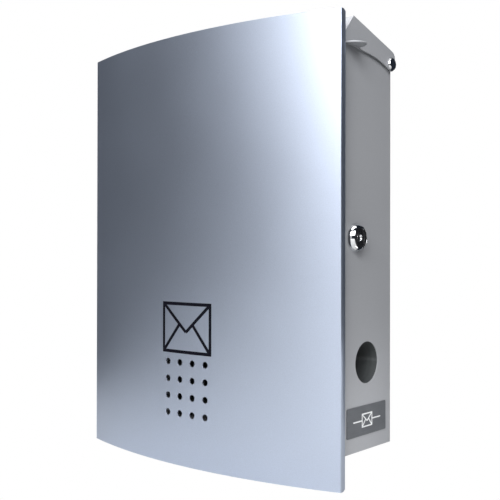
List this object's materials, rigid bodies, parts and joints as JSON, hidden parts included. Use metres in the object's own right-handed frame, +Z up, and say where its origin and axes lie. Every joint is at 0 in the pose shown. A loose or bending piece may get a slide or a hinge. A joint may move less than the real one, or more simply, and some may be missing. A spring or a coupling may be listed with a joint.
{
  "type": "wall mounted mailbox",
  "caption": "Wall mounted sheet-metal mailbox with a bowed front door, sloping lid over the mail slot, side cam lock and a newspaper tube through its lower body.",
  "frame": {"origin": "centre of the wall side of the upper wall rail's web, on the wall plane", "axes": "+X to the right seen from the front, +Y into the wall, +Z up"},
  "size_m": [0.37, 0.1387, 0.45],
  "materials": {
    "silver": "satin metallic silver coat with a fine grain",
    "grey": "satin grey powder coat",
    "zinc": "bright zinc plate",
    "pipe": "smooth dark grey plastic",
    "chrome": "polished",
    "black": "black print and enamel",
    "rubber": "matte",
    "nylon": "natural nylon",
    "tag": "satin dark grey plate",
    "white": "white print"
  },
  "bodies": {
    "housing": {"body_shell": "grey", "bottom_panel": "grey", "top_rail": "grey", "wall_rail_upper": "zinc", "wall_rail_lower": "zinc", "rail_rivet_upper_left": "zinc", "rail_rivet_upper_right": "zinc", "rail_rivet_lower_left": "zinc", "rail_rivet_lower_right": "zinc", "newspaper_tube": "pipe", "lid_hinge_rod": "zinc", "hinge_cap_left": "chrome", "hinge_cap_right": "chrome", "lid_washer_left": "nylon", "lid_washer_right": "nylon", "lid_bumper_left": "rubber", "lid_bumper_right": "rubber", "lock_housing": "chrome", "lock_face": "black", "lock_washer": "zinc", "lock_nut": "zinc", "door_pin_upper": "zinc", "door_pin_lower": "zinc", "door_washer_upper": "nylon", "door_washer_lower": "nylon", "label_plate": "tag", "label_mark": "white"},
    "lid": {"lid_cover": "grey"},
    "lock_rotor": {"lock_plug": "chrome", "lock_cam": "zinc", "cam_screw": "zinc"},
    "door": {"front_panel": "silver", "door_pan": "grey", "panel_rib_upper": "zinc", "panel_rib_lower": "zinc", "door_catch": "zinc", "catch_rivet_upper": "zinc", "catch_rivet_lower": "zinc", "front_picture": "black"}
  },
  "joints": [
    {"name": "door_hinge", "type": "hinge", "parent": "housing", "child": "door", "pos_m": [-0.1706, -0.1079, -0.15], "axis": [0, 0, -1], "range_deg": [0, 100]},
    {"name": "lid_hinge", "type": "hinge", "parent": "housing", "child": "lid", "pos_m": [0, -0.0153, 0.0395], "axis": [-1, 0, 0], "range_deg": [0, 70]},
    {"name": "lock_turn", "type": "hinge", "parent": "housing", "child": "lock_rotor", "pos_m": [0.16, -0.0765, -0.1381], "axis": [1, 0, 0], "range_deg": [0, 90]}
  ]
}
